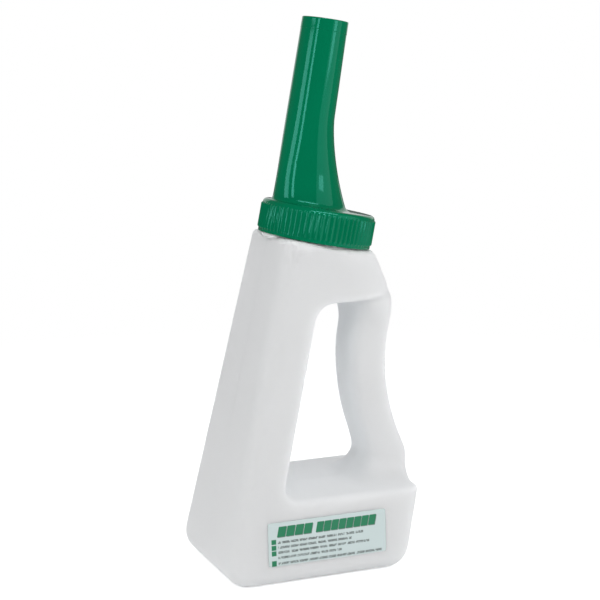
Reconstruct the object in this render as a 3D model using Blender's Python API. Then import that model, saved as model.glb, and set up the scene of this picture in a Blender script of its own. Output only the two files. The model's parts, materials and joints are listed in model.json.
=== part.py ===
"""Drenching bottle: a blow-moulded bottle with a hollow handle, a ribbed screw cap with a long
off-centre nozzle moulded on it, and the sealing ring inside the cap.

Metres, +Z up. The bottle stands on its foot, X runs from the column in front to the handle behind,
and the bottle is the same on both sides of the plane Y = 0. The neck leans back over the handle, so
the cap, its nozzle and the ring are modelled straight up and turned by the same lean.
"""

import math

import bmesh
import bpy
from mathutils import Matrix, Vector

# Bottle body, seen from the side
foot_length = 0.1664
foot_height = 0.0692
foot_width = 0.1298
front_lean = math.radians(12.4)
back_lean = math.radians(11.6)
side_draft = math.radians(4.1)
column_depth = 0.0378
column_back_lean = math.radians(12.9)
shoulder_depth = 0.0464
shoulder_slope = math.radians(26.0)
shoulder_reach = 0.0492
shoulder_nose = 0.0433
shoulder_crown = 0.0005
wall = 0.0020

# Rounding of the edges beside the flat sides
front_edge = 0.0134
base_edge = 0.0175
back_edge = 0.0206
foot_top_edge = 0.0062
column_back_edge = 0.0093
shoulder_under_edge = 0.0062
shoulder_back_edge = 0.0124
shoulder_top_edge = 0.0033

# Rounding of the corners in the side view
base_front_corner = 0.0180
base_back_corner = 0.0206
foot_back_corner = 0.0062
column_foot_fillet = 0.0103
opening_top_fillet = 0.0165
shoulder_top_corner = 0.0031
hollow_corner = 0.0058

# Where the column's solid ends inside the shoulder's
slab_overlap = 0.0062
buried_corner = 0.0030
buried_edge = 0.0040
flush_step = 0.00005
buried_step = 0.00025
least_radius = 0.0008

# Recess under the foot, inside the rim that it stands on
rim_width = 0.0031
recess_depth = 0.0016
recess_edge = 0.0004

# Handle: how far its back stands out from the straight line between foot and shoulder, and its depth,
# each at a share of the opening's height
handle_back_wave = (
    (-0.06, -0.0009), (0.00, 0.0000), (0.06, 0.0022), (0.115, 0.0042), (0.17, 0.0023),
    (0.25, -0.0026), (0.40, -0.0085), (0.55, -0.0108), (0.66, -0.0102), (0.735, -0.0086),
    (0.80, -0.0059), (0.86, -0.0024), (0.905, -0.0002), (0.95, 0.0009), (1.00, 0.0002),
    (1.05, -0.0021), (1.10, -0.0048), (1.20, -0.0130),
)
handle_depths = (
    (-0.06, 0.0355), (0.00, 0.0355), (0.115, 0.0386), (0.18, 0.0363), (0.30, 0.0349),
    (0.60, 0.0338), (0.85, 0.0354), (1.00, 0.0386), (1.20, 0.0360),
)
handle_width = 0.0443
handle_corner = 0.0103
handle_root_fillet = 0.0237
handle_top_fillet = 0.0062
handle_top_spread = 0.0110
handle_top_rise = 0.0300
handle_round_rise = 0.0400
handle_flush_gap = 0.0003
root_front_round = 0.6
root_back_round = 0.5

# Neck, measured along and across its own leaning axis
neck_seat_x = 0.1023
neck_seat_height = 0.2736
neck_lean = math.radians(10.9)
neck_radius = 0.0418
neck_wall = 0.0022
neck_rise = 0.0235
neck_root = 0.01254

# Cap
cap_radius = 0.0474
cap_height = 0.0276
cap_wall = 0.0024
cap_top = 0.0026
cap_top_corner = 0.0036
rib_count = 72
rib_depth = 0.0006
rib_shape = ((0.00, 0.0), (0.30, 1.0), (0.50, 1.0), (0.80, 0.0))
band_height = 0.0027
cap_seat_gap = 0.0006

# Sealing ring
ring_thickness = 0.0016
ring_width = 0.0047
seat_gap = 0.0003

# Nozzle: offsets from the neck's axis are towards the front
nozzle_length = 0.1509
nozzle_root_offset = 0.0206
nozzle_tip_offset = 0.0240
nozzle_root_radius = 0.0206
nozzle_tip_radius = 0.0189
nozzle_wall = 0.0020
flare_reach = 0.0227
flare_height = 0.0742
flare_power = 1.55
foot_flare_reach = 0.0052
foot_flare_height = 0.0309
tip_band = 0.0098
tip_band_step = 0.0004
root_fillet = 0.0036
root_front_share = 0.5
section_crowding = 1.3

# Fineness of the facets
corner_steps = 5
nose_steps = 8
shoulder_steps = 3
edge_steps = 4
handle_stations = (
    (-0.06, 0.00, 2), (0.00, 0.03, 4), (0.03, 0.15, 6), (0.15, 0.84, 9), (0.84, 0.96, 4),
    (0.96, 1.02, 5), (1.02, 1.20, 5),
)
neck_segments = 72
nozzle_segments = 48
nozzle_steps = 14


def smooth_through(points, at):
    """Value at a place on the smooth curve through hand-set points, by cubic pieces."""
    last = len(points) - 1
    i = 0
    while i < last - 1 and at > points[i + 1][0]:
        i += 1
    (x0, y0), (x1, y1) = points[i], points[i + 1]
    xa, ya = points[max(i - 1, 0)]
    xb, yb = points[min(i + 2, last)]
    span = x1 - x0
    slope0 = (y1 - ya) / (x1 - xa)
    slope1 = (yb - y0) / (xb - x0)
    s = (at - x0) / span
    return (
        y0 * (1 + 2 * s) * (1 - s) ** 2 + slope0 * span * s * (1 - s) ** 2
        + y1 * s * s * (3 - 2 * s) + slope1 * span * s * s * (s - 1)
    )


def half_width(z):
    """Half width of the bottle between its flat sides, which draw in from the base upwards."""
    return foot_width / 2 - z * math.tan(side_draft)


def seat_direction():
    """Direction in the side view along the neck's seat, from the front to the handle."""
    return Vector((math.cos(neck_lean), -math.sin(neck_lean)))


def seat_height(x):
    """Height of the plane of the neck's seat at a place along the bottle."""
    return neck_seat_height - (x - neck_seat_x) * math.tan(neck_lean)


def underside():
    """Height of the shoulder's underside over the grip opening."""
    return neck_seat_height - shoulder_depth


def opening_height():
    """Height of the grip opening, from the foot to the shoulder."""
    return underside() - foot_height


def foot_back():
    """Top corner of the foot's back end, in the side view."""
    return Vector((foot_length + foot_height * math.tan(back_lean), foot_height))


def column_back(z):
    """X of the column's back face at a height."""
    at_foot = foot_height * math.tan(front_lean) + column_depth
    return at_foot + (z - foot_height) * math.tan(column_back_lean)


def shoulder_back(z):
    """X of the tip of the shoulder's nose at a height."""
    top = Vector((neck_seat_x, neck_seat_height)) + seat_direction() * shoulder_reach
    share = (top.y - z) / (top.y - underside())
    bulge = 4 * share * (1 - share) * shoulder_crown
    return top.x + (top.y - z) * math.tan(shoulder_slope) + bulge


def slab_end(share):
    """X where the column's solid ends inside the shoulder, from its underside to the seat."""
    low = column_back(underside()) + opening_top_fillet + slab_overlap
    high = neck_seat_x + seat_direction().x * shoulder_reach - shoulder_nose - buried_corner
    return low + (high - low) * share


def side_profile(least):
    """Corners of the body's side view: place, rounding, edge rounding of the next side, and the
    least rounding that is left where the view is drawn smaller.

    The side after corner i runs from it to the next, anticlockwise, with the body on the left.
    A negative rounding is a fillet in an inner corner.
    """
    run = math.tan(front_lean)
    seat = seat_direction()
    # the front face meets the plane of the neck's seat
    t = (neck_seat_x - run * neck_seat_height) / (seat.x - run * seat.y)
    shoulder_front = Vector((neck_seat_x, neck_seat_height)) - seat * t
    column_foot = Vector((column_back(foot_height), foot_height))
    column_top = Vector((column_back(underside()), underside()))
    slab_top = Vector((slab_end(1.0), seat_height(slab_end(1.0))))
    return (
        (Vector((0, 0)), base_front_corner, base_edge, least),
        (Vector((foot_length, 0)), base_back_corner, back_edge, least),
        (foot_back(), foot_back_corner, foot_top_edge, least),
        (column_foot, -column_foot_fillet, column_back_edge, least),
        (column_top, -opening_top_fillet, shoulder_under_edge, least),
        (Vector((slab_end(0.0), underside())), buried_corner, buried_edge, least_radius),
        (slab_top, buried_corner, shoulder_top_edge, least_radius),
        (shoulder_front, shoulder_top_corner, front_edge, least),
    )


def offset_outline(profile, insets, y_values):
    """Side view with each side moved in by its own distance, corners rounded, as 3-D points."""
    count = len(profile)
    lines = []
    for i in range(count):
        start, end = profile[i][0], profile[(i + 1) % count][0]
        along = (end - start).normalized()
        inward = Vector((-along.y, along.x))
        lines.append((start + inward * insets[i], along, inward))
    points = []
    for i in range(count):
        (p0, d0, n0), (p1, d1, n1) = lines[i - 1], lines[i]
        cross = d0.x * d1.y - d0.y * d1.x
        t = ((p1 - p0).x * d1.y - (p1 - p0).y * d1.x) / cross
        corner = p0 + d0 * t
        radius = profile[i][1] - (insets[i - 1] + insets[i]) / 2
        if profile[i][1] > 0:
            radius = max(radius, profile[i][3])
        turn = math.atan2(cross, d0.dot(d1))
        start = corner - d0 * abs(radius) * math.tan(abs(turn) / 2)
        centre = start + n0 * radius
        for k in range(corner_steps + 1):
            share = k / corner_steps
            spin = Matrix.Rotation(turn * share, 2)
            place = centre + spin @ (start - centre)
            y = y_values[i - 1](place.y) * (1 - share) + y_values[i](place.y) * share
            points.append(Vector((place.x, y, place.y)))
    return points


def mesh_object(name, bm, material=None):
    """Object made from a bmesh, shaded smooth between its sharp edges."""
    bmesh.ops.recalc_face_normals(bm, faces=bm.faces)
    mesh = bpy.data.meshes.new(name)
    bm.to_mesh(mesh)
    bm.free()
    mesh.shade_smooth()
    mesh.set_sharp_from_angle(angle=math.radians(35))
    thing = bpy.data.objects.new(name, mesh)
    bpy.context.scene.collection.objects.link(thing)
    if material:
        mesh.materials.append(material)
    return thing


def bridge_rings(bm, rings, close_ends=True):
    """Closed skin through rings of points, each ring with the same number of points."""
    made = [[bm.verts.new(point) for point in ring] for ring in rings]
    for lower, upper in zip(made[:-1], made[1:]):
        for k in range(len(lower)):
            after = (k + 1) % len(lower)
            bm.faces.new((lower[k], lower[after], upper[after], upper[k]))
    if close_ends:
        bm.faces.new(made[0])
        bm.faces.new(made[-1])
    return made


def body_slab(name, inset):
    """Column, foot and shoulder in one: the side view drawn to full width, with rounded edges."""
    profile = side_profile(hollow_corner if inset > 0 else least_radius)
    rings = []
    for k in range(edge_steps + 1):
        turn = math.pi / 2 * k / edge_steps
        insets = []
        heights = []
        for _, _, edge, _ in profile:
            edge_radius = edge - inset
            insets.append(inset + edge_radius * (1 - math.cos(turn)))
            below = edge_radius * (1 - math.sin(turn)) + inset / math.cos(side_draft)
            heights.append(lambda z, below=below: half_width(z) - below)
        rings.append(offset_outline(profile, insets, heights))
    mirrored = [[Vector((p.x, -p.y, p.z)) for p in ring] for ring in rings]
    bm = bmesh.new()
    bridge_rings(bm, mirrored[::-1] + rings)
    return mesh_object(name, bm)


def fillet_spread(height, radius):
    """How far a round fillet stands out at a height above the face that it runs into."""
    if height >= radius:
        return 0.0
    rest = radius - max(height, 0.0)
    return radius - math.sqrt(radius * radius - rest * rest)


def shoulder_section(share, inset, side_in, back_in):
    """Section of the shoulder between its underside and the neck's seat, as a ring of points.

    It is level at the underside and lies in the seat's plane at the top. The back is a round nose,
    and the front end is buried in the column's solid. Rounded edges draw the sides and back in.
    """
    low = underside() + inset
    drop = inset / math.cos(neck_lean)

    def height(x):
        return low + (seat_height(x) - drop - low) * share

    def half(x):
        return half_width(height(x)) - inset / math.cos(side_draft) - side_in

    joint = slab_end(share) - buried_edge - buried_corner / 2
    start = joint - buried_edge
    tip = shoulder_back(height(shoulder_back(low))) - inset - back_in
    nose = shoulder_nose - inset
    side = [
        (start, half(start) - buried_edge - buried_step),
        (joint, half(joint) - flush_step),
    ]
    for k in range(nose_steps + 1):
        turn = math.pi / 2 * k / nose_steps
        x = tip - nose + nose * math.sin(turn)
        side.append((x, (half(x) - flush_step) * math.cos(turn)))
    points = [Vector((x, y, height(x))) for x, y in side]
    mirrored = [Vector((p.x, -p.y, p.z)) for p in points[:-1]]
    return mirrored + points[::-1]


def shoulder_loft(name, inset):
    """Shoulder between the column and the handle, with rounded edges below and above."""
    reach = shoulder_depth
    under = shoulder_under_edge - inset
    behind = shoulder_back_edge - inset
    above = shoulder_top_edge - inset
    quarter = [math.pi / 2 * k / edge_steps for k in range(edge_steps + 1)]
    rises = [under * (1 - math.cos(turn)) + flush_step for turn in quarter]
    rises.append((under + behind) / 2)
    plain = [behind + (reach - above - behind) * k / shoulder_steps for k in range(shoulder_steps)]
    rises += plain
    rings = []
    for rise in rises:
        rings.append(shoulder_section(
            rise / reach, inset, fillet_spread(rise, under), fillet_spread(rise, behind)
        ))
    for turn in quarter:
        drawn_in = above * (1 - math.cos(turn))
        share = 1 - above * (1 - math.sin(turn)) / reach
        rings.append(shoulder_section(share, inset, drawn_in, drawn_in))
    bm = bmesh.new()
    bridge_rings(bm, rings)
    return mesh_object(name, bm)


def eased(value):
    """Smooth rise from nothing to one."""
    inside = min(max(value, 0.0), 1.0)
    return inside * inside * (3 - 2 * inside)


def handle_tube(name, inset):
    """Handle: rounded sections up its curved line, spreading into the foot and the shoulder."""
    foot_back_x = foot_back().x - handle_flush_gap
    shoulder_low_x = shoulder_back(underside())
    shares = []
    for low, high, steps in handle_stations:
        shares += [low + (high - low) * k / steps for k in range(steps)]
    shares.append(handle_stations[-1][1])
    rings = []
    for share in shares:
        z = foot_height + share * opening_height()
        line_x = foot_back_x + (shoulder_low_x - foot_back_x) * share
        outer_back = line_x + smooth_through(handle_back_wave, share)
        if z < foot_height:
            outer_back = foot_length + z * math.tan(back_lean) - handle_flush_gap
        outer_front = outer_back - smooth_through(handle_depths, share)
        over_top = z - underside()
        root = fillet_spread(z - (foot_height - inset), handle_root_fillet + inset)
        top = fillet_spread(inset - over_top, handle_top_fillet + inset)
        spread = handle_top_spread * eased(1 + over_top / handle_top_rise)
        back = outer_back - inset
        front = outer_front + inset - root - top
        half = handle_width / 2 - inset + root + spread
        corner = handle_corner - inset
        front_corner = corner + root_front_round * root
        # the back grows into the shoulder's round nose
        to_round = half - corner - least_radius
        grown = to_round * eased(1 + over_top / handle_round_rise)
        back_corner = corner + root_back_round * root + grown
        back_corner = min(back_corner, back - front - front_corner - least_radius)
        rings.append(rounded_section(front, back, half, front_corner, back_corner, z))
    bm = bmesh.new()
    bridge_rings(bm, rings)
    return mesh_object(name, bm)


def rounded_section(front, back, half, front_corner, back_corner, z):
    """Level section between two X values, with rounded corners, as a ring of points."""
    points = []
    corners = (
        (back - back_corner, half - back_corner, back_corner, 0),
        (front + front_corner, half - front_corner, front_corner, 90),
        (front + front_corner, front_corner - half, front_corner, 180),
        (back - back_corner, back_corner - half, back_corner, 270),
    )
    for x, y, radius, start in corners:
        for k in range(corner_steps + 1):
            turn = math.radians(start + 90 * k / corner_steps)
            points.append(Vector((x + radius * math.cos(turn), y + radius * math.sin(turn), z)))
    return points


def circle(radius, height, count, centre=0.0):
    """Ring of points round the upright axis, at a height."""
    return [
        Vector((
            centre + radius * math.cos(2 * math.pi * k / count),
            radius * math.sin(2 * math.pi * k / count),
            height,
        ))
        for k in range(count)
    ]


def round_solid(name, levels, count=neck_segments, material=None):
    """Turned solid through circles given as radius and height, from the bottom to the top."""
    bm = bmesh.new()
    bridge_rings(bm, [circle(radius, height, count) for radius, height in levels])
    return mesh_object(name, bm, material)


def hollow_turned(name, profile, count, material):
    """Turned ring through a closed outline given as radius and height."""
    bm = bmesh.new()
    rings = [circle(radius, height, count) for radius, height in profile]
    made = bridge_rings(bm, rings, close_ends=False)
    for k in range(count):
        after = (k + 1) % count
        bm.faces.new((made[-1][k], made[-1][after], made[0][after], made[0][k]))
    return mesh_object(name, bm, material)


def cutter(thing):
    """Marks an object as one that only shapes others."""
    thing.hide_render = True
    thing.display_type = "WIRE"
    return thing


def boolean(target, other, operation):
    """Exact Boolean modifier that stays on its object."""
    modifier = target.modifiers.new(operation.title() + " " + other.name, "BOOLEAN")
    modifier.operation = operation
    modifier.solver = "EXACT"
    modifier.object = other


def plastic(name, colour, roughness):
    """Principled material of one plastic."""
    material = bpy.data.materials.new(name)
    material.use_nodes = True
    shader = material.node_tree.nodes["Principled BSDF"]
    shader.inputs["Base Color"].default_value = (*colour, 1.0)
    shader.inputs["Roughness"].default_value = roughness
    shader.inputs["Metallic"].default_value = 0.0
    return material


def on_neck(thing, frame):
    """Sets a piece on the neck's leaning frame, whose origin is on the joint's axis."""
    thing.parent = frame
    return thing


def neck_tube(name, radius, low, high, frame):
    """Plain round solid along the neck's axis."""
    return on_neck(cutter(round_solid(name, [(radius, low), (radius, high)])), frame)


def foot_recess():
    """Shallow pan under the foot, leaving the rim that the bottle stands on."""
    front = base_front_corner + rim_width
    back = foot_length - base_back_corner - rim_width
    half = foot_width / 2 - base_edge - rim_width
    corner = front_edge
    rings = [
        rounded_section(front, back, half, corner, corner, -recess_depth),
        rounded_section(front, back, half, corner, corner, recess_edge),
        rounded_section(
            front + recess_depth, back - recess_depth, half - recess_depth,
            corner - recess_depth, corner - recess_depth, recess_depth,
        ),
    ]
    bm = bmesh.new()
    bridge_rings(bm, rings)
    return cutter(mesh_object("recess_shape", bm))


def make_bottle(material, frame, body_frame):
    """Hollow bottle: body, handle and neck joined, and the same shapes one wall smaller cut out."""
    bottle = body_slab("bottle", 0.0)
    bottle.data.materials.append(material)
    inside = cutter(body_slab("inside_shape", wall))
    shoulder = cutter(shoulder_loft("shoulder_shape", 0.0))
    shoulder_inside = cutter(shoulder_loft("shoulder_inside_shape", wall))
    handle = cutter(handle_tube("handle_shape", 0.0))
    handle_inside = cutter(handle_tube("handle_inside_shape", wall))
    neck = neck_tube("neck_shape", neck_radius, -neck_root, neck_rise, frame)
    bore = neck_tube(
        "bore_shape", neck_radius - neck_wall, -neck_root, neck_rise + wall, frame
    )
    recess = foot_recess()
    boolean(inside, shoulder_inside, "UNION")
    boolean(inside, handle_inside, "UNION")
    boolean(inside, bore, "UNION")
    boolean(bottle, shoulder, "UNION")
    boolean(bottle, handle, "UNION")
    boolean(bottle, neck, "UNION")
    boolean(bottle, inside, "DIFFERENCE")
    boolean(bottle, recess, "DIFFERENCE")
    for thing in (bottle, inside, shoulder, shoulder_inside, handle, handle_inside, recess):
        thing.parent = body_frame
    return bottle


def ribbed_ring(radius, height, depth):
    """Ring of points whose radius rises and falls with the cap's grip ribs."""
    points = []
    for rib in range(rib_count):
        for share, lift in rib_shape:
            turn = 2 * math.pi * (rib + share) / rib_count
            reach = radius + depth * lift
            points.append(Vector((reach * math.cos(turn), reach * math.sin(turn), height)))
    return points


def cap_drum(material):
    """Outside of the screw cap: smooth band, ribbed wall, rounded rim and flat top."""
    rib_foot = cap_seat_gap + band_height
    rib_head = cap_seat_gap + cap_height - cap_top_corner
    run_out = rib_depth
    levels = [
        (cap_radius, cap_seat_gap, 0.0),
        (cap_radius, rib_foot, 0.0),
        (cap_radius, rib_foot + run_out, rib_depth),
        (cap_radius, rib_head - run_out, rib_depth),
        (cap_radius, rib_head, 0.0),
    ]
    for k in (1, 2, 3):
        turn = math.pi / 2 * k / 3
        inward = cap_top_corner * (1 - math.cos(turn))
        levels.append((cap_radius - inward, rib_head + cap_top_corner * math.sin(turn), 0.0))
    bm = bmesh.new()
    bridge_rings(bm, [ribbed_ring(*level) for level in levels])
    return mesh_object("nozzle_cap", bm, material)


def nozzle_section(height, inset):
    """Section of the nozzle at a height above the cap's top, as a ring of points.

    The front stays nearly straight, and the back and the sides flare out towards the cap.
    """
    share = height / nozzle_length
    radius = nozzle_root_radius + (nozzle_tip_radius - nozzle_root_radius) * share
    centre = -(nozzle_root_offset + (nozzle_tip_offset - nozzle_root_offset) * share)
    if height > nozzle_length - tip_band:
        radius += tip_band_step
    rest = max(1 - max(height, 0.0) / flare_height, 0.0)
    side_rest = max(1 - max(height, 0.0) / foot_flare_height, 0.0)
    spread = 0.0
    if inset == 0.0:
        spread = fillet_spread(height, root_fillet)
    back = centre + radius + flare_reach * rest ** flare_power - inset + spread
    front = centre - radius + inset - spread * root_front_share
    half = radius + foot_flare_reach * side_rest ** 2 - inset + spread
    middle, reach = (front + back) / 2, (back - front) / 2
    points = []
    for k in range(nozzle_segments):
        turn = 2 * math.pi * k / nozzle_segments
        points.append(Vector((middle + reach * math.cos(turn), half * math.sin(turn), height)))
    return points


def nozzle_tube(name, inset, low, high):
    """Nozzle from a height below the cap's top to its tip, solid, one wall smaller for the bore."""
    heights = [low]
    if inset == 0.0:
        heights += [root_fillet * share for share in (0.0, 0.15, 0.4, 0.7)]
    for k in range(nozzle_steps + 1):
        share = (k / nozzle_steps) ** section_crowding
        heights.append(root_fillet + (nozzle_length - tip_band - root_fillet) * share)
    if inset == 0.0:
        heights.append(nozzle_length - tip_band + tip_band_step)
    heights.append(high)
    bm = bmesh.new()
    bridge_rings(bm, [nozzle_section(height, inset) for height in heights])
    return cutter(mesh_object(name, bm))


def make_nozzle_cap(material, frame):
    """Screw cap and nozzle in one moulding, with the bore through both."""
    top = cap_seat_gap + cap_height
    cap = on_neck(cap_drum(material), frame)
    hollow = on_neck(cutter(round_solid(
        "cap_hollow_shape",
        [(cap_radius - cap_wall, -wall), (cap_radius - cap_wall, top - cap_top)],
    )), frame)
    nozzle = on_neck(nozzle_tube("nozzle_shape", 0.0, -cap_top / 2, nozzle_length), frame)
    bore = on_neck(
        nozzle_tube("nozzle_bore_shape", nozzle_wall, -2 * cap_top, nozzle_length + wall), frame
    )
    nozzle.location.z = top
    bore.location.z = top
    boolean(cap, nozzle, "UNION")
    boolean(cap, hollow, "DIFFERENCE")
    boolean(cap, bore, "DIFFERENCE")
    return cap


def make_ring(material, frame):
    """Flat sealing ring between the neck's rim and the underside of the cap."""
    low = neck_rise + seat_gap
    inner = neck_radius - neck_wall / 2 - ring_width / 2
    outer = inner + ring_width
    outline = (
        (inner, low), (outer, low), (outer, low + ring_thickness), (inner, low + ring_thickness)
    )
    return on_neck(hollow_turned("sealing_ring", outline, neck_segments, material), frame)


def clear_scene():
    """Removes whatever the scene holds."""
    for thing in list(bpy.data.objects):
        bpy.data.objects.remove(thing, do_unlink=True)


def empty(name, location, lean=0.0):
    """Empty that carries pieces, leaning back about Y."""
    frame = bpy.data.objects.new(name, None)
    frame.location = location
    frame.rotation_euler = (0.0, lean, 0.0)
    bpy.context.scene.collection.objects.link(frame)
    return frame


def body_middle():
    """X of the middle of the bottle's whole length, between its front corner and its handle."""
    turn = (math.pi / 2 - front_lean) / 2
    front = base_front_corner / math.tan(turn) - base_front_corner
    foot_back_x = foot_back().x - handle_flush_gap
    shoulder_low_x = shoulder_back(underside())
    backs = []
    for k in range(121):
        share = k / 120
        line_x = foot_back_x + (shoulder_low_x - foot_back_x) * share
        backs.append(line_x + smooth_through(handle_back_wave, share))
    return (front + max(backs)) / 2


def main():
    clear_scene()
    milky = plastic("milky_polyethylene", (0.80, 0.81, 0.83), 0.38)
    green = plastic("green_moulded_plastic", (0.0, 0.16, 0.075), 0.22)
    rubber = plastic("pale_seal_foam", (0.75, 0.75, 0.72), 0.60)
    middle = body_middle()
    body_frame = empty("body_frame", (-middle, 0.0, 0.0))
    neck_frame = empty("neck_frame", (neck_seat_x - middle, 0.0, neck_seat_height), neck_lean)
    make_bottle(milky, neck_frame, body_frame)
    make_nozzle_cap(green, neck_frame)
    make_ring(rubber, neck_frame)


main()
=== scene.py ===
"""Drenching bottle with its nozzle cap, sealing ring and label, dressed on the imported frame.

Metres, +Z up, in the frame of the solids. The cap, the neck and the nozzle are modelled straight up
round the Z axis, and are then turned onto the leaning axis that the cap screws about.
"""

import json
import math

import bmesh
import bpy
from bpy.props import FloatProperty, FloatVectorProperty, IntProperty, PointerProperty
from mathutils import Matrix, Vector

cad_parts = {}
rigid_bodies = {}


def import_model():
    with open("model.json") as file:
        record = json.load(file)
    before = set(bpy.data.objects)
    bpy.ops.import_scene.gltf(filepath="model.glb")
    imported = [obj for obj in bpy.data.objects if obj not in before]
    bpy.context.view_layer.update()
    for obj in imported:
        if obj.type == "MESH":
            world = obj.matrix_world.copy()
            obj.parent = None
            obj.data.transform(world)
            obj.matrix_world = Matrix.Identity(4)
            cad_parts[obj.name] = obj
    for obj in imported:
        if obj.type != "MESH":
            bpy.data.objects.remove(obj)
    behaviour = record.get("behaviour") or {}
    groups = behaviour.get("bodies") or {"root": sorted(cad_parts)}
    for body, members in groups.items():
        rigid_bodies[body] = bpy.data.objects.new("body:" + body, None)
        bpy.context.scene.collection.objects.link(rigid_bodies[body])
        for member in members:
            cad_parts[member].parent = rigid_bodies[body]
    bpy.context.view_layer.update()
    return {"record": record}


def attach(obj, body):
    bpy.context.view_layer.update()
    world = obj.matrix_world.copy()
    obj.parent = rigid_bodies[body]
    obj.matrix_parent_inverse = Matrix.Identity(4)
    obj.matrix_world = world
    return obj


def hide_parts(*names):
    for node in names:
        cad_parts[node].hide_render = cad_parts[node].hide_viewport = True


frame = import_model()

bl_info = {
    "name": "Drenching bottle",
    "version": (1, 0, 0),
    "blender": (4, 5, 0),
    "location": "3D View > Sidebar > Bottle",
    "description": "Blow-moulded bottle with a hollow handle, a nozzle cap and a label",
    "category": "Object",
}


def length(name, default, description, low=0.0):
    """Property for a length in metres."""
    return FloatProperty(
        name=name, default=default, description=description, min=low,
        unit="LENGTH", subtype="DISTANCE", precision=5,
    )


def share(name, default, description, high=1.0):
    """Property for a plain number."""
    return FloatProperty(name=name, default=default, description=description, min=0.0, max=high)


def colour(name, default, description):
    """Property for a colour."""
    return FloatVectorProperty(
        name=name, default=default, description=description,
        subtype="COLOR", size=3, min=0.0, max=1.0,
    )


def angle(name, default, description):
    """Property for an angle, stated in degrees here."""
    return FloatProperty(
        name=name, default=math.radians(default), description=description, subtype="ANGLE",
    )


class BottleSizes(bpy.types.PropertyGroup):
    wall: length("Wall", 0.0018, "Thickness of the blown wall")
    grain: length("Mesh grain", 0.0019, "Size of the faces of the skin", 0.0005)
    soften: IntProperty(
        name="Softening", default=16, min=0, description="Rounds of smoothing over the blown skin"
    )
    seam: length("Parting line", 0.00005, "How far the mould's parting line stands up")
    neck_radius: length("Neck radius", 0.0418, "Outside of the neck")
    neck_wall: length("Neck wall", 0.0022, "Thickness of the neck")
    neck_rise: length("Neck height", 0.0235, "Height of the neck over its seat")
    thread_height: length("Thread height", 0.0014, "How far the thread stands off its wall")
    thread_lead: length("Thread lead", 0.0060, "Rise of the cap in one turn")


class CapSizes(bpy.types.PropertyGroup):
    radius: length("Radius", 0.0469, "Outside of the cap between its ribs")
    height: length("Height", 0.0276, "Height of the cap's drum")
    gap: length("Gap", 0.0006, "Gap between the cap and the shoulder")
    wall: length("Wall", 0.0024, "Thickness of the cap's wall")
    top: length("Top", 0.0026, "Thickness of the cap's top")
    rim_round: length("Rim rounding", 0.0036, "Rounding between the wall and the flat top")
    band: length("Band", 0.0027, "Height of the smooth band under the ribs")
    ribs: IntProperty(name="Ribs", default=72, min=12, description="Grip ribs round the cap")
    rib_depth: length("Rib depth", 0.0011, "How far a rib stands out")


class NozzleSizes(bpy.types.PropertyGroup):
    length: length("Length", 0.1507, "From the cap's top to the tip")
    tip_tilt: angle("Tip tilt", 2.2, "How far the tip's end is turned from square")
    root_offset: length("Root offset", 0.0206, "Offset of the root from the neck's axis")
    tip_offset: length("Tip offset", 0.0240, "Offset of the tip from the neck's axis")
    root_radius: length("Root radius", 0.0206, "Radius at the root, without its flare")
    tip_radius: length("Tip radius", 0.0189, "Radius at the tip")
    wall: length("Wall", 0.0020, "Thickness of the nozzle")
    flare: length("Flare", 0.0227, "How far the back spreads at the root")
    flare_height: length("Flare height", 0.0742, "Height over which the back spreads")
    flare_power: share("Flare curve", 1.55, "How quickly the flare runs out", 4.0)
    side_flare: length("Side flare", 0.0052, "How far the sides spread at the root")
    side_height: length("Side flare height", 0.0309, "Height over which the sides spread")
    band: length("Tip band", 0.0098, "Height of the slightly wider band at the tip")
    band_step: length("Tip band step", 0.00012, "How far the tip band stands out")
    root_round: length("Root rounding", 0.0036, "Rounding where the nozzle meets the cap's top")


class LabelSizes(bpy.types.PropertyGroup):
    left: FloatProperty(name="Left", default=-0.0585, unit="LENGTH", description="Left end in X")
    right: FloatProperty(name="Right", default=0.0480, unit="LENGTH", description="Right end in X")
    low: length("Low", 0.0185, "Height of the lower edge")
    high: length("High", 0.0560, "Height of the upper edge")
    film: length("Film", 0.00012, "Thickness of the film")


class Finishes(bpy.types.PropertyGroup):
    milk: colour("Milky plastic", (0.945, 0.968, 0.985), "Colour of the bottle")
    milk_deep: colour("Milky plastic, thick", (0.934, 0.957, 0.975), "Where its wall is thicker")
    milk_depth: length("Bottle depth", 0.012, "How far light scatters in the milky plastic")
    milk_gloss: share("Bottle roughness", 0.48, "Roughness of the blown skin")
    green: colour("Green plastic", (0.0, 0.134, 0.059), "Colour of the cap and nozzle")
    green_deep: colour("Green plastic, deep", (0.0, 0.120, 0.052), "Its darker clouds")
    green_gloss: share("Cap roughness", 0.075, "Roughness of the moulded cap")
    foam: colour("Seal foam", (0.72, 0.72, 0.68), "Colour of the sealing ring")
    film: colour("Label film", (0.445, 0.515, 0.51), "Tint of the label's film")
    print_green: colour("Printed green", (0.0, 0.160, 0.066), "Colour of the printed bars")
    print_dark: colour("Printed dark", (0.02, 0.06, 0.04), "Colour of the blocks' dark sides")
    print_grey: colour("Printed grey", (0.10, 0.12, 0.115), "Colour of the printed rules")


class StageSettings(bpy.types.PropertyGroup):
    azimuth: angle("Azimuth", -22.93, "Camera's bearing round the bottle")
    elevation: angle("Elevation", 10.36, "Camera's height above the horizon")
    distance: length("Distance", 1.306246, "Camera's distance from its target")
    target_x: FloatProperty(
        name="Target X", default=-0.003647, unit="LENGTH", description="Where the camera looks"
    )
    target_z: FloatProperty(
        name="Target Z", default=0.223901, unit="LENGTH", description="Where the camera looks"
    )
    lens: share("Lens", 94.218, "Focal length in millimetres", 500.0)
    floor: colour("Floor", (0.85, 0.85, 0.85), "Colour of the floor")
    floor_glow: share("Floor glow", 0.45, "Light that the floor adds to what the camera sees")
    daylight: share("Daylight", 0.78, "Strength of the light from all round", 4.0)
    gleam: share("Gleam", 0.12, "Strength of the same light in reflections", 4.0)


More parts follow.
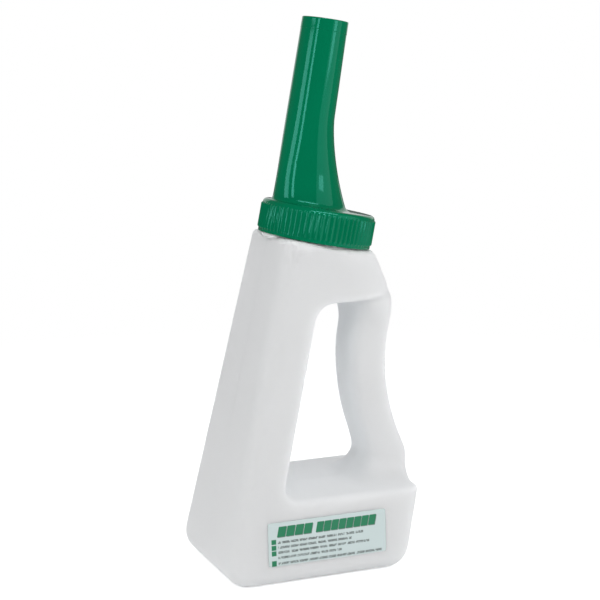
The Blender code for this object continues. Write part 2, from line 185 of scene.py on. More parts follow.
def lean_axis():
    """Point and direction of the axis that the cap turns about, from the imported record."""
    for joint in frame["record"]["behaviour"]["joints"]:
        if joint["name"] == "cap_turn":
            return Vector(joint["pos_m"]), Vector(joint["axis"]).normalized()
    raise RuntimeError("the frame has no joint cap_turn")


SEAT, AXIS = lean_axis()
ON_NECK = Matrix.Translation(SEAT) @ Matrix.Rotation(math.atan2(AXIS.x, AXIS.z), 4, "Y")
OFF_NECK = ON_NECK.inverted()


def bare():
    """Object mode with nothing selected."""
    if bpy.context.object and bpy.context.object.mode != "OBJECT":
        bpy.ops.object.mode_set(mode="OBJECT")
    bpy.ops.object.select_all(action="DESELECT")


def only(thing):
    """Selects one object and makes it active."""
    bare()
    thing.select_set(True)
    bpy.context.view_layer.objects.active = thing


def edit(thing, kind="VERT"):
    """Edit mode on one object with nothing selected."""
    only(thing)
    bpy.ops.object.mode_set(mode="EDIT")
    bpy.ops.mesh.select_mode(type=kind)
    bpy.ops.mesh.select_all(action="DESELECT")


def pick(thing, kind, test):
    """Selects the verts, edges or faces of the edited mesh that pass a test."""
    mesh = bmesh.from_edit_mesh(thing.data)
    for part in getattr(mesh, kind):
        part.select_set(bool(test(part)))
    if kind != "verts":
        mesh.select_flush_mode()
    bmesh.update_edit_mesh(thing.data)


def done():
    """Leaves edit mode."""
    bpy.ops.object.mode_set(mode="OBJECT")


def modify(thing, kind, **settings):
    """Adds a modifier with its settings and applies it."""
    only(thing)
    modifier = thing.modifiers.new(kind.title(), kind)
    for key, value in settings.items():
        setattr(modifier, key, value)
    bpy.ops.object.modifier_apply(modifier=modifier.name)


def place(thing, matrix):
    """Moves a piece to its place, with the place in its mesh."""
    thing.data.transform(matrix)
    thing.matrix_world = Matrix.Identity(4)


def smooth(thing, degrees=40.0):
    """Smooth shading between the edges that are sharper than an angle."""
    only(thing)
    bpy.ops.object.shade_smooth_by_angle(angle=math.radians(degrees))


def outwards(thing):
    """Closes doubles and turns the faces of a closed mesh outwards."""
    edit(thing)
    bpy.ops.mesh.select_all(action="SELECT")
    bpy.ops.mesh.remove_doubles(threshold=1e-6)
    bpy.ops.mesh.normals_make_consistent(inside=False)
    done()


def dress(thing, material, body):
    """Gives a finished piece its material and its body."""
    thing.data.materials.clear()
    thing.data.materials.append(material)
    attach(thing, body)


def ring_tube(name, rings, count):
    """Closed skin pulled through rings given as centre X, reach in X, reach in Y and height."""
    bare()
    bpy.ops.mesh.primitive_circle_add(vertices=count, radius=1.0, fill_type="NOTHING")
    tube = bpy.context.object
    tube.name = tube.data.name = name
    bpy.ops.object.mode_set(mode="EDIT")
    bpy.ops.mesh.select_mode(type="VERT")
    bpy.ops.mesh.select_all(action="SELECT")
    middle, reach, half, height = rings[0]
    bpy.ops.transform.resize(value=(reach, half, 1.0), center_override=(0.0, 0.0, 0.0))
    bpy.ops.transform.translate(value=(middle, 0.0, height))
    for old, new in zip(rings[:-1], rings[1:]):
        bpy.ops.mesh.extrude_edges_move(
            TRANSFORM_OT_translate={"value": (new[0] - old[0], 0.0, new[3] - old[3])}
        )
        bpy.ops.transform.resize(
            value=(new[1] / old[1], new[2] / old[2], 1.0), center_override=(new[0], 0.0, new[3])
        )
    return tube


def round_ring(radius, height):
    """Ring round the Z axis."""
    return (0.0, radius, radius, height)


def fillet(height, radius):
    """How far a round fillet stands out at a height above the face that it runs into."""
    if height >= radius:
        return 0.0
    rest = radius - height
    return radius - math.sqrt(radius * radius - rest * rest)


def nozzle_ring(sizes, height, inset, top):
    """Section of the nozzle at a height above the cap's top: straight in front, flared behind."""
    along = height / sizes.length
    radius = sizes.root_radius + (sizes.tip_radius - sizes.root_radius) * along
    middle = -(sizes.root_offset + (sizes.tip_offset - sizes.root_offset) * along)
    rest = max(1 - max(height, 0.0) / sizes.flare_height, 0.0)
    side = max(1 - max(height, 0.0) / sizes.side_height, 0.0)
    spread = 0.0 if inset > 0 else fillet(max(height, 0.0), sizes.root_round)
    back = middle + radius + sizes.flare * rest ** sizes.flare_power - inset + spread
    front = middle - radius + inset - spread * 0.5
    half = radius + sizes.side_flare * side ** 2 - inset + spread
    return ((front + back) / 2, (back - front) / 2, half, top + height)


THREAD_START = 0.0060
THREAD_FOOT = 0.0026
THREAD_CREST = 0.4
POINTS_PER_RIB = 6


def thread(name, radius, height, low, turns, lead, phase):
    """Helical ridge on a wall of a radius: height is positive outwards, negative inwards."""
    bare()
    bpy.ops.mesh.primitive_plane_add(size=1.0, rotation=(math.pi / 2, 0.0, 0.0))
    ridge = bpy.context.object
    ridge.name = ridge.data.name = name
    bpy.ops.object.transform_apply(location=False, rotation=True, scale=False)
    bury = 0.0004 if height > 0 else -0.0004
    edit(ridge)
    bpy.ops.mesh.select_all(action="SELECT")
    bpy.ops.transform.resize(
        value=(abs(height) + abs(bury), 1.0, THREAD_FOOT), center_override=(0.0, 0.0, 0.0)
    )
    bpy.ops.transform.translate(value=(radius + (height - bury) / 2, 0.0, low))
    crest = radius + height
    pick(ridge, "verts", lambda v: abs(v.co.x - crest) < 1e-5)
    bpy.ops.transform.resize(value=(1.0, 1.0, THREAD_CREST), center_override=(crest, 0.0, low))
    bpy.ops.mesh.select_all(action="SELECT")
    bpy.ops.mesh.delete(type="ONLY_FACE")
    done()
    steps_in_turn = 72
    steps = int(steps_in_turn * turns)
    modify(
        ridge, "SCREW", angle=math.tau * turns, screw_offset=lead * turns,
        steps=steps, render_steps=steps, use_merge_vertices=False,
    )
    # the ridge runs out into the wall at both ends
    edit(ridge)
    mesh = bmesh.from_edit_mesh(ridge.data)
    for vert in mesh.verts:
        rise = vert.co.z - low
        end = min(max(rise, 0.0), max(lead * turns - rise, 0.0)) / (lead / 8)
        if end < 1.0:
            reach = math.hypot(vert.co.x, vert.co.y)
            scale = (reach - (1 - end) * height) / reach
            vert.co.x *= scale
            vert.co.y *= scale
    bmesh.update_edit_mesh(ridge.data)
    bpy.ops.mesh.select_all(action="SELECT")
    bpy.ops.mesh.fill_holes(sides=8)
    done()
    outwards(ridge)
    place(ridge, Matrix.Rotation(phase, 4, "Z"))
    return ridge


class Signal:
    """A shader value that takes part in sums and products."""

    def __init__(self, finish, socket):
        self.finish = finish
        self.socket = socket

    def _math(self, operation, first, second=None):
        node = self.finish.nodes.new("ShaderNodeMath")
        node.operation = operation
        for slot, value in zip(node.inputs, (first, second)):
            if isinstance(value, Signal):
                self.finish.links.new(value.socket, slot)
            elif value is not None:
                slot.default_value = value
        return Signal(self.finish, node.outputs[0])

    def __add__(self, other):
        return self._math("ADD", self, other)

    def __sub__(self, other):
        return self._math("SUBTRACT", self, other)

    def __rsub__(self, other):
        return self._math("SUBTRACT", other, self)

    def __mul__(self, other):
        return self._math("MULTIPLY", self, other)

    def over(self, other):
        return self._math("GREATER_THAN", self, other)

    def under(self, other):
        return self._math("LESS_THAN", self, other)

    def root(self):
        return self._math("SQRT", self)

    def most(self, other):
        return self._math("MAXIMUM", self, other)

    def wrapped(self, period):
        return self._math("FLOORED_MODULO", self, period)


class Finish:
    """A material that is built from one principled shader and the nodes that feed it."""

    def __init__(self, name):
        self.material = bpy.data.materials.new(name)
        self.material.use_nodes = True
        self.nodes = self.material.node_tree.nodes
        self.links = self.material.node_tree.links
        self.shader = self.nodes["Principled BSDF"]
        self.place = self.node("ShaderNodeTexCoord").outputs["Object"]

    def node(self, kind, settings=None, **values):
        """Adds a node: its settings first, then the values or links of its sockets."""
        node = self.nodes.new(kind)
        for key, value in (settings or {}).items():
            setattr(node, key, value)
        for key, value in values.items():
            slot = node.inputs[key.replace("_", " ")]
            self.feed(slot, value)
        return node

    def feed(self, slot, value):
        """Sets or links one socket."""
        if isinstance(value, Signal):
            value = value.socket
        if isinstance(value, bpy.types.NodeSocket):
            self.links.new(value, slot)
        elif hasattr(value, "__len__") and len(value) == 3 and slot.type == "RGBA":
            slot.default_value = (*value, 1.0)
        else:
            slot.default_value = value

    def set(self, **values):
        """Sets or links sockets of the principled shader."""
        for key, value in values.items():
            self.feed(self.shader.inputs[key.replace("_", " ")], value)

    def noise(self, scale, detail=3.0, roughness=0.5):
        """Noise from nothing to one, at a number of spots in a metre."""
        node = self.node(
            "ShaderNodeTexNoise", Vector=self.place, Scale=scale, Detail=detail,
            Roughness=roughness,
        )
        return Signal(self, node.outputs["Fac"])

    def axes(self):
        """X, Y and Z of the point on the piece."""
        node = self.node("ShaderNodeSeparateXYZ", Vector=self.place)
        return [Signal(self, output) for output in node.outputs]

    def mix(self, factor, first, second):
        """Blend of two colours."""
        node = self.nodes.new("ShaderNodeMix")
        node.data_type = "RGBA"
        node.clamp_factor = True
        self.feed(node.inputs["Factor"], factor)
        sockets = [slot for slot in node.inputs if slot.type == "RGBA"]
        self.feed(sockets[0], first)
        self.feed(sockets[1], second)
        return next(slot for slot in node.outputs if slot.type == "RGBA")

    def bump(self, height, distance):
        """Bump of the normal by a height in shares of a distance."""
        node = self.node("ShaderNodeBump", Height=height, Distance=distance, Strength=1.0)
        self.set(Normal=node.outputs["Normal"])


def milky_finish(finishes):
    """Blown polyethylene: milky, a little cloudy, with a fine satin grain and soft waves."""
    finish = Finish("milky_blown_polyethylene")
    clouds = finish.noise(14.0, 2.0)
    grain = finish.noise(1500.0, 2.0)
    waves = finish.noise(20.0, 1.0)
    finish.set(
        Base_Color=finish.mix(clouds * 1.6 - 0.3, tuple(finishes.milk_deep), tuple(finishes.milk)),
        Roughness=clouds * 0.06 + (finishes.milk_gloss - 0.03),
        IOR=1.40,
        Subsurface_Weight=1.0,
        Subsurface_Radius=(1.0, 1.0, 1.0),
        Subsurface_Scale=finishes.milk_depth,
    )
    finish.bump(waves * 0.8 + grain * 0.2, 0.00010)
    return finish.material


def green_finish(finishes):
    """Glossy moulded plastic with faint flow clouds and fine rubbing marks."""
    finish = Finish("glossy_green_moulding")
    clouds = finish.noise(22.0, 2.0)
    rubbed = finish.noise(260.0, 5.0, 0.65)
    deep, clear = tuple(finishes.green_deep), tuple(finishes.green)
    finish.set(
        Base_Color=finish.mix(clouds * 1.6 - 0.3, deep, clear),
        Roughness=rubbed * 0.04 + (finishes.green_gloss - 0.02),
        IOR=1.40,
        Specular_Tint=(0.20, 0.90, 0.84),
    )
    finish.bump(finish.noise(40.0, 1.0), 0.00004)
    return finish.material


def foam_finish(finishes):
    """Fine closed foam."""
    finish = Finish("closed_cell_foam")
    cells = finish.noise(1800.0, 4.0)
    deep = tuple(0.8 * value for value in finishes.foam)
    finish.set(
        Base_Color=finish.mix(cells, deep, tuple(finishes.foam)),
        Roughness=cells * 0.2 + 0.65,
    )
    finish.bump(cells, 0.00015)
    return finish.material


def label_finish(finishes):
    """Pale film with plain printed bars, squares and broken rules, and no lettering."""
    finish = Finish("label_film")
    x, _, z = finish.axes()

    title_low, title_high, slant = 0.0432, 0.0516, 0.22

    def block(left, right, low, high):
        inside = x.over(left) * x.under(right)
        return inside * z.over(low) * z.under(high)

    def blocks(shift):
        along = x - (z - title_low) * slant - shift
        rows = (z + shift).over(title_low) * (z + shift).under(title_high)
        short = along.over(-0.0500) * along.under(-0.0195)
        short = short * (along + 0.0500).wrapped(0.0077).under(0.0069)
        long = along.over(-0.0160) * along.under(0.0370)
        long = long * (along + 0.0160).wrapped(0.0067).under(0.0060)
        return short.most(long) * rows

    title = blocks(0.0)
    for low, high in ((0.0374, 0.0414), (0.0326, 0.0366), (0.0280, 0.0320), (0.0194, 0.0240)):
        title = title.most(block(-0.0549, -0.0508, low, high))
    side = blocks(0.0006) * (1.0 - title)
    words = (x + finish.noise(95.0, 1.0) * 0.012).wrapped(0.0085).over(0.0011)
    strokes = finish.noise(1150.0, 1.0).over(0.43)
    rules = None
    for height, right in (
        (0.0386, 0.0265), (0.0345, 0.0161), (0.0304, 0.0319), (0.0261, 0.0068), (0.0213, 0.0431)
    ):
        rule = block(-0.0493, right, height - 0.0010, height + 0.0010)
        rules = rule if rules is None else rules.most(rule)
    rules = rules * words * (strokes * 0.75 + 0.20)
    ground = finish.mix(
        finish.noise(60.0) * 0.5, tuple(finishes.film), tuple(0.96 * v for v in finishes.film)
    )
    inked = finish.mix(rules, ground, tuple(finishes.print_grey))
    inked = finish.mix(side * 0.8, inked, tuple(finishes.print_dark))
    shade = finish.noise(700.0, 2.0) * 0.25
    green = finish.mix(
        shade, tuple(finishes.print_green), tuple(0.6 * v for v in finishes.print_green)
    )
    finish.set(
        Base_Color=finish.mix(title, inked, green),
        Roughness=finish.noise(300.0) * 0.1 + 0.33,
    )
    finish.bump(title.most(rules), 0.00002)
    return finish.material


def finish_of(name, maker):
    """The material of a name, made the first time that it is asked for."""
    return bpy.data.materials.get(name) or maker(bpy.context.scene.bottle_finishes)


class BOTTLE_OT_skin(bpy.types.Operator):
    """Blown body of the bottle with its foot, column, shoulder and hollow handle"""

    bl_idname = "drench.skin"
    bl_label = "Blown body"

    def execute(self, context):
        sizes = context.scene.bottle_sizes
        skin = self.outside(sizes)
        modify(
            skin, "REMESH", mode="VOXEL", voxel_size=sizes.grain, use_smooth_shade=True
        )
        modify(skin, "SMOOTH", factor=0.5, iterations=sizes.soften)
        self.parting_line(skin, sizes)
        self.open_neck(skin, sizes)
        modify(skin, "SOLIDIFY", thickness=sizes.wall, offset=-1.0)
        smooth(skin, 60.0)
        milky = finish_of("milky_blown_polyethylene", milky_finish)
        dress(skin, milky, "bottle")
        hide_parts("bottle")
        return {"FINISHED"}

    def outside(self, sizes):
        """Outer side of the solid bottle, closed at the seat of the neck."""
        node = bpy.data.objects["bottle"]
        skin = bpy.data.objects.new("bottle_skin", node.data.copy())
        skin.data.name = "bottle_skin"
        bpy.context.scene.collection.objects.link(skin)
        edit(skin)
        bpy.ops.mesh.select_all(action="SELECT")
        bpy.ops.mesh.remove_doubles(threshold=1e-6)
        bpy.ops.mesh.select_all(action="DESELECT")
        bpy.ops.mesh.select_mode(type="FACE")
        rim = sizes.neck_rise - 1e-4
        pick(skin, "faces", lambda face: all((OFF_NECK @ v.co).z > rim for v in face.verts))
        bpy.ops.mesh.delete(type="FACE")
        bpy.ops.mesh.select_mode(type="VERT")
        mesh = bmesh.from_edit_mesh(skin.data)
        outermost = min(mesh.verts, key=lambda vert: vert.co.x)
        pick(skin, "verts", lambda vert: vert is outermost)
        bpy.ops.mesh.select_linked()
        bpy.ops.mesh.select_all(action="INVERT")
        bpy.ops.mesh.delete(type="VERT")
        bpy.ops.mesh.select_all(action="SELECT")
        bpy.ops.mesh.bisect(
            plane_co=ON_NECK @ Vector((0.0, 0.0, 0.0004)), plane_no=AXIS,
            clear_outer=True, use_fill=True,
        )
        done()
        return skin

    def parting_line(self, skin, sizes):
        """Fine ridge where the two halves of the mould met, all round the plane Y = 0."""
        only(skin)
        bpy.ops.object.duplicate()
        line = bpy.context.object
        line.name = line.data.name = "parting_line"
        edit(line)
        bpy.ops.mesh.select_all(action="SELECT")
        bpy.ops.mesh.bisect(
            plane_co=(0.0, 0.0, 0.0), plane_no=(0.0, 1.0, 0.0), clear_inner=True, clear_outer=True
        )
        bpy.ops.mesh.select_mode(type="EDGE")
        seat = sizes.neck_radius
        pick(
            line, "edges",
            lambda edge: all(
                (OFF_NECK @ v.co).z > -0.0002 and abs((OFF_NECK @ v.co).x) < seat
                for v in edge.verts
            ),
        )
        bpy.ops.mesh.delete(type="EDGE")
        done()
        modify(line, "SMOOTH", factor=0.5, iterations=4)
        only(line)
        bpy.ops.object.convert(target="CURVE")
        line.data.bevel_depth = sizes.seam
        line.data.bevel_resolution = 1
        bpy.ops.object.convert(target="MESH")
        line = bpy.context.object
        smooth(line, 80.0)
        milky = finish_of("milky_blown_polyethylene", milky_finish)
        dress(line, milky, "bottle")

    def open_neck(self, skin, sizes):
        """Opens the round way from the neck into the hollow, and makes its edge a true circle."""
        bore = sizes.neck_radius - sizes.neck_wall / 2
        edit(skin, "FACE")

        def in_bore(face):
            centre = OFF_NECK @ face.calc_center_median()
            return abs(centre.z) < 0.003 and math.hypot(centre.x, centre.y) < bore

        pick(skin, "faces", in_bore)
        bpy.ops.mesh.delete(type="FACE")
        bpy.ops.mesh.select_mode(type="VERT")
        mesh = bmesh.from_edit_mesh(skin.data)
        for vert in mesh.verts:
            vert.select_set(vert.is_boundary)
            if vert.is_boundary:
                spot = OFF_NECK @ vert.co
                scale = bore / math.hypot(spot.x, spot.y)
                vert.co = ON_NECK @ Vector((spot.x * scale, spot.y * scale, spot.z))
        bmesh.update_edit_mesh(skin.data)
        done()


class BOTTLE_OT_neck(bpy.types.Operator):
    """Round neck with its rim and its thread"""

    bl_idname = "drench.neck"
    bl_label = "Neck"

    def execute(self, context):
        sizes = context.scene.bottle_sizes
        outer = sizes.neck_radius
        inner = outer - sizes.neck_wall
        rise = sizes.neck_rise
        corner = 0.0006
        root = 0.0020
        buried = 0.0035
        rings = [
            round_ring(inner, -buried),
            round_ring(inner, rise - corner),
            round_ring(inner + corner * 0.3, rise - corner * 0.3),
            round_ring(inner + corner, rise),
            round_ring(outer - corner, rise),
            round_ring(outer - corner * 0.3, rise - corner * 0.3),
            round_ring(outer, rise - corner),
            round_ring(outer, 0.0022),
        ]
        for height in (0.0016, 0.0011, 0.0007, 0.0004, 0.0002):
            rings.append(round_ring(outer + fillet(height, root), height))
        rings.append(round_ring(outer + root, -0.0010))
        rings.append(round_ring(outer + 0.0004, -buried))
        rings.append(rings[0])
        neck = ring_tube("bottle_neck", rings, 144)
        done()
        outwards(neck)
        place(neck, ON_NECK)
        smooth(neck)
        ridge = thread(
            "neck_thread", outer, sizes.thread_height, THREAD_START, turns=1.5,
            lead=sizes.thread_lead, phase=0.0,
        )
        place(ridge, ON_NECK)
        smooth(ridge)
        milky = finish_of("milky_blown_polyethylene", milky_finish)
        for piece in (neck, ridge):
            dress(piece, milky, "bottle")
        return {"FINISHED"}


class BOTTLE_OT_nozzle_cap(bpy.types.Operator):
    """Ribbed screw cap and its long nozzle, in one moulding"""

    bl_idname = "drench.nozzle_cap"
    bl_label = "Nozzle cap"

    def execute(self, context):
        cap_sizes = context.scene.cap_sizes
        nozzle_sizes = context.scene.nozzle_sizes
        neck_sizes = context.scene.bottle_sizes
        rings = self.drum(cap_sizes) + self.nozzle(cap_sizes, nozzle_sizes)
        rings += self.inside(cap_sizes, nozzle_sizes)
        rings.append(rings[0])
        cap = ring_tube("screw_cap_and_nozzle", rings, cap_sizes.ribs * POINTS_PER_RIB)
        self.raise_ribs(cap, cap_sizes)
        self.tilt_tip(cap, cap_sizes, nozzle_sizes)
        done()
        outwards(cap)
        place(cap, ON_NECK)
        smooth(cap, 38.0)
        inner = cap_sizes.radius - cap_sizes.wall
        ridge = thread(
            "cap_thread", inner, -neck_sizes.thread_height, THREAD_START, turns=1.25,
            lead=neck_sizes.thread_lead, phase=math.pi,
        )
        place(ridge, ON_NECK)
        smooth(ridge)
        green = finish_of("glossy_green_moulding", green_finish)
        for piece in (cap, ridge):
            dress(piece, green, "cap")
        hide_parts("nozzle_cap")
        return {"FINISHED"}

    def rib_zone(self, sizes):
        """Lowest and highest level of the ribs."""
        return sizes.gap + sizes.band, sizes.gap + sizes.height - sizes.rim_round

    def drum(self, sizes):
        """Rings of the cap's outside, from the lower edge to the flat top."""
        inner = sizes.radius - sizes.wall
        low, high = self.rib_zone(sizes)
        edge = 0.0005
        run_out = sizes.rib_depth
        rings = [
            round_ring(inner, sizes.gap + edge),
            round_ring(inner + edge, sizes.gap),
            round_ring(sizes.radius - edge, sizes.gap),
            round_ring(sizes.radius - edge * 0.3, sizes.gap + edge * 0.3),
            round_ring(sizes.radius, sizes.gap + edge),
            round_ring(sizes.radius, low),
            round_ring(sizes.radius, low + run_out),
            round_ring(sizes.radius, high - run_out),
            round_ring(sizes.radius, high),
        ]
        rim_steps = 6
        for k in range(1, rim_steps + 1):
            turn = math.pi / 2 * k / rim_steps
            rings.append(round_ring(
                sizes.radius - sizes.rim_round * (1 - math.cos(turn)),
                high + sizes.rim_round * math.sin(turn),
            ))
        return rings

    def nozzle(self, cap, sizes):
        """Rings of the nozzle's outside, from its rounded root to the edge of the tip."""
        top = cap.gap + cap.height
        rings = []
        for part in (0.0, 0.03, 0.09, 0.18, 0.30, 0.45, 0.65, 0.85, 1.0):
            rings.append(nozzle_ring(sizes, sizes.root_round * part, 0.0, top))
        shaft = sizes.length - sizes.band
        shaft_rings, crowding = 36, 1.3
        for k in range(1, shaft_rings + 1):
            along = (k / shaft_rings) ** crowding
            height = sizes.root_round + (shaft - sizes.root_round) * along
            rings.append(nozzle_ring(sizes, height, 0.0, top))
        step = sizes.band_step
        edge = 0.0005
        support = 0.0006
        for height, inset in (
            (shaft + step * 0.5, -step * 0.7), (shaft + step, -step), (shaft + support, -step),
            (sizes.length - edge - support, -step), (sizes.length - edge, -step),
            (sizes.length - edge * 0.3, edge * 0.3 - step), (sizes.length, edge - step),
        ):
            middle, reach, half, level = nozzle_ring(sizes, height, 0.0, top)
            rings.append((middle, reach - inset, half - inset, level))
        return rings

    def inside(self, cap, sizes):
        """Rings of the bore, from the tip down to the cap's underside, and of the cap's hollow."""
        top = cap.gap + cap.height
        edge = 0.0004
        corner = 0.0010
        bore_rings = 24
        rings = [nozzle_ring(sizes, sizes.length, sizes.wall - edge, top)]
        for k in range(bore_rings + 1):
            height = (sizes.length - edge) * (1 - k / bore_rings)
            rings.append(nozzle_ring(sizes, height, sizes.wall, top))
        inner = cap.radius - cap.wall
        rings.append(nozzle_ring(sizes, -cap.top, sizes.wall, top))
        rings.append(round_ring(inner - corner, top - cap.top))
        rings.append(round_ring(inner, top - cap.top - corner))
        return rings

    def tilt_tip(self, cap, cap_sizes, sizes):
        """Turns the tip's end a little, so that it is cut lower in front."""
        end = cap_sizes.gap + cap_sizes.height + sizes.length
        turned = 0.0020
        pick(cap, "verts", lambda vert: vert.co.z > end - turned)
        bpy.ops.transform.rotate(
            value=sizes.tip_tilt, orient_axis="Y",
            center_override=(-sizes.tip_offset, 0.0, end),
        )

    def raise_ribs(self, cap, sizes):
        """Pushes every rib out of the drum: first its body, then its narrow crest."""
        low, high = self.rib_zone(sizes)
        run_out = sizes.rib_depth
        count = sizes.ribs * POINTS_PER_RIB

        def on_rib(places):
            def test(vert):
                reach = math.hypot(vert.co.x, vert.co.y)
                if reach < sizes.radius - 1e-4:
                    return False
                if not low + run_out * 0.5 < vert.co.z < high - run_out * 0.5:
                    return False
                turned = round(math.atan2(vert.co.y, vert.co.x) / math.tau * count)
                return turned % POINTS_PER_RIB in places
            return test

        for places, depth in (((1, 2, 3), 0.75), ((2,), 0.25)):
            pick(cap, "verts", on_rib(places))
            scale = 1 + sizes.rib_depth * depth / sizes.radius
            bpy.ops.transform.resize(
                value=(scale, scale, 1.0), center_override=(0.0, 0.0, 0.0)
            )


class BOTTLE_OT_seal(bpy.types.Operator):
    """Foam finish of the sealing ring inside the cap"""

    bl_idname = "drench.seal"
    bl_label = "Sealing ring"

    def execute(self, context):
        ring = bpy.data.objects["sealing_ring"]
        foam = finish_of("closed_cell_foam", foam_finish)
        for slot in ring.material_slots:
            slot.material = foam
        return {"FINISHED"}


class BOTTLE_OT_label(bpy.types.Operator):
    """Thin printed film on the foot's near side"""

    bl_idname = "drench.label"
    bl_label = "Label"

    def execute(self, context):
        sizes = context.scene.label_sizes
        bare()
        wide = sizes.right - sizes.left
        tall = sizes.high - sizes.low
        clear_of_foot = -0.075
        lift = 0.00008
        bpy.ops.mesh.primitive_grid_add(
            x_subdivisions=54, y_subdivisions=20, size=1.0, rotation=(math.pi / 2, 0.0, 0.0)
        )
        film = bpy.context.object
        film.name = film.data.name = "label_film"
        film.scale = (wide, tall, 1.0)
        film.location = (
            (sizes.left + sizes.right) / 2, clear_of_foot, (sizes.low + sizes.high) / 2
        )
        bpy.ops.object.transform_apply(location=True, rotation=True, scale=True)
        # rounded corners: the corner points move in
        edit(film)
        corner = 0.0022
        middle = Vector(((sizes.left + sizes.right) / 2, (sizes.low + sizes.high) / 2))
        pick(
            film, "verts",
            lambda v: abs(v.co.x - middle.x) > wide / 2 - 1e-5
            and abs(v.co.z - middle.y) > tall / 2 - 1e-5,
        )
        scale = (1 - corner * 0.6 / wide, 1.0, 1 - corner * 0.6 / tall)
        bpy.ops.transform.resize(
            value=scale, center_override=(middle.x, clear_of_foot, middle.y)
        )
        done()
        modify(
            film, "SHRINKWRAP", target=bpy.data.objects["bottle_skin"], wrap_method="PROJECT",
            use_project_x=False, use_project_y=True, use_project_z=False,
            use_negative_direction=True, use_positive_direction=True, offset=lift,
        )
        modify(film, "SMOOTH", factor=0.5, iterations=6)
        modify(film, "SOLIDIFY", thickness=sizes.film, offset=0.0)
        smooth(film, 50.0)
        printed = finish_of("label_film", label_finish)
        dress(film, printed, "bottle")
        return {"FINISHED"}


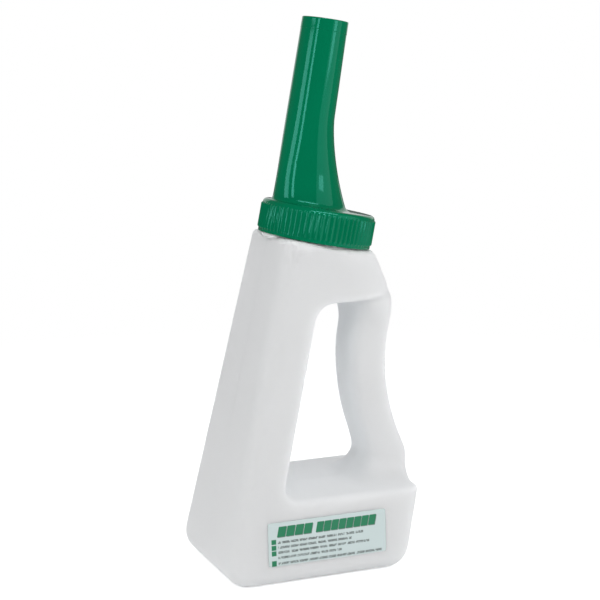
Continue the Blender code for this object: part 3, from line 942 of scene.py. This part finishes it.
class BOTTLE_OT_stage(bpy.types.Operator):
    """Pale floor, soft studio lamps, white background and the camera"""

    bl_idname = "drench.stage"
    bl_label = "Stage"

    def execute(self, context):
        settings = context.scene.stage_settings
        self.floor(settings)
        self.lamps()
        self.world(settings)
        self.camera(context, settings)
        context.scene.view_settings.view_transform = "Standard"
        return {"FINISHED"}

    def floor(self, settings):
        """Plain pale floor."""
        bare()
        bpy.ops.mesh.primitive_plane_add(size=8.0)
        floor = bpy.context.object
        floor.name = floor.data.name = "floor"
        finish = Finish("pale_floor")
        cloud = finish.noise(3.0)
        x, y, _ = finish.axes()
        away = (x * x + y * y).root()
        finish.set(
            Base_Color=finish.mix(
                cloud, tuple(settings.floor), tuple(0.995 * v for v in settings.floor)
            ),
            Roughness=0.9,
            Alpha=1.0 - (away - 0.35) * 1.6,
            Emission_Color=finish.node("ShaderNodeLightPath").outputs["Is Camera Ray"],
            Emission_Strength=settings.floor_glow,
        )
        floor.data.materials.append(finish.material)

    def lamps(self):
        """Soft boxes round the bottle: bearing, height, distance, width, height and radiance."""
        for name, azimuth, middle, distance, wide, tall, radiance in (
            ("left_strip", -80.5, 0.60, 1.5, 0.52, 0.42, 5.2),
            ("left_line", -53.0, 0.62, 1.5, 0.22, 0.36, 7.4),
            ("left_foot", -68.0, 0.42, 1.5, 0.90, 0.07, 5.4),
            ("right_panel", 44.0, 0.45, 1.8, 1.6, 2.2, 1.25),
            ("right_wide", 95.0, 0.45, 1.8, 1.0, 2.2, 0.3),
            ("right_box", 34.0, 0.50, 1.5, 0.36, 0.30, 4.4),
            ("top_box", 60.0, 1.45, 0.55, 0.60, 0.30, 0.6),
            ("front_fill", -10.0, 1.50, 1.60, 1.60, 0.60, 3.1),
            ("rim_bar", 2.0, 1.55, 1.20, 1.60, 0.20, 16.0),
            ("back_panel", 157.0, 0.79, 1.8, 3.0, 1.04, 0.68),
        ):
            bearing = math.radians(azimuth)
            spot = Vector((distance * math.sin(bearing), -distance * math.cos(bearing), middle))
            away = spot - Vector((0.0, 0.0, min(middle, 0.35)))
            bpy.ops.object.light_add(type="AREA", location=spot)
            lamp = bpy.context.object
            lamp.name = name
            lamp.rotation_euler = away.to_track_quat("Z", "Y").to_euler()
            lamp.data.shape = "RECTANGLE"
            lamp.data.size = wide
            lamp.data.size_y = tall
            lamp.data.energy = radiance * math.pi * wide * tall
            lamp.visible_camera = False
            # the wide panel on the right only fills, and the bar is only seen in the gloss
            lamp.visible_glossy = name != "right_wide"
            lamp.visible_diffuse = name != "rim_bar"

    def world(self, settings):
        """Even light from all round, and a white background for the camera."""
        world = bpy.data.worlds.new("studio")
        bpy.context.scene.world = world
        world.use_nodes = True
        nodes, links = world.node_tree.nodes, world.node_tree.links
        light = nodes["Background"]
        light.inputs["Color"].default_value = (0.97, 0.985, 1.0, 1.0)
        dim = nodes.new("ShaderNodeMapRange")
        dim.inputs["To Min"].default_value = settings.daylight
        dim.inputs["To Max"].default_value = settings.gleam
        links.new(dim.outputs["Result"], light.inputs["Strength"])
        white = nodes.new("ShaderNodeBackground")
        white.inputs["Color"].default_value = (1.0, 1.0, 1.0, 1.0)
        path = nodes.new("ShaderNodeLightPath")
        links.new(path.outputs["Is Glossy Ray"], dim.inputs["Value"])
        seen = nodes.new("ShaderNodeMath")
        seen.operation = "MAXIMUM"
        links.new(path.outputs["Is Camera Ray"], seen.inputs[0])
        links.new(path.outputs["Is Transmission Ray"], seen.inputs[1])
        mix = nodes.new("ShaderNodeMixShader")
        links.new(seen.outputs[0], mix.inputs["Fac"])
        links.new(light.outputs["Background"], mix.inputs[1])
        links.new(white.outputs["Background"], mix.inputs[2])
        links.new(mix.outputs["Shader"], nodes["World Output"].inputs["Surface"])

    def camera(self, context, settings):
        """Camera at the bearing, height and framing of the photograph."""
        back = Vector((
            math.sin(settings.azimuth) * math.cos(settings.elevation),
            -math.cos(settings.azimuth) * math.cos(settings.elevation),
            math.sin(settings.elevation),
        ))
        target = Vector((settings.target_x, 0.0, settings.target_z))
        bpy.ops.object.camera_add(location=target + back * settings.distance)
        camera = bpy.context.object
        camera.rotation_euler = (-back).to_track_quat("-Z", "Y").to_euler()
        camera.data.lens = settings.lens
        camera.data.sensor_width = 36.0
        camera.data.clip_start = 0.01
        context.scene.camera = camera


class BOTTLE_PT_panel(bpy.types.Panel):
    """Sizes, finishes and steps of the bottle"""

    bl_idname = "BOTTLE_PT_panel"
    bl_label = "Drenching bottle"
    bl_space_type = "VIEW_3D"
    bl_region_type = "UI"
    bl_category = "Bottle"

    def draw(self, context):
        layout = self.layout
        for step in STEPS:
            layout.operator(step.bl_idname)
        for name, group in GROUPS:
            box = layout.box()
            box.label(text=name.replace("_", " ").capitalize())
            for key in group.__annotations__:
                box.prop(getattr(context.scene, name), key)


STEPS = (
    BOTTLE_OT_skin, BOTTLE_OT_neck, BOTTLE_OT_nozzle_cap, BOTTLE_OT_seal, BOTTLE_OT_label,
    BOTTLE_OT_stage,
)
GROUPS = (
    ("bottle_sizes", BottleSizes), ("cap_sizes", CapSizes), ("nozzle_sizes", NozzleSizes),
    ("label_sizes", LabelSizes), ("bottle_finishes", Finishes), ("stage_settings", StageSettings),
)


def register():
    for name, group in GROUPS:
        bpy.utils.register_class(group)
        setattr(bpy.types.Scene, name, PointerProperty(type=group))
    for step in (*STEPS, BOTTLE_PT_panel):
        bpy.utils.register_class(step)


def unregister():
    for step in reversed((*STEPS, BOTTLE_PT_panel)):
        bpy.utils.unregister_class(step)
    for name, group in reversed(GROUPS):
        delattr(bpy.types.Scene, name)
        bpy.utils.unregister_class(group)


def main():
    register()
    bpy.ops.drench.skin()
    bpy.ops.drench.neck()
    bpy.ops.drench.nozzle_cap()
    bpy.ops.drench.seal()
    bpy.ops.drench.label()
    bpy.ops.drench.stage()


if __name__ == "__main__":
    main()
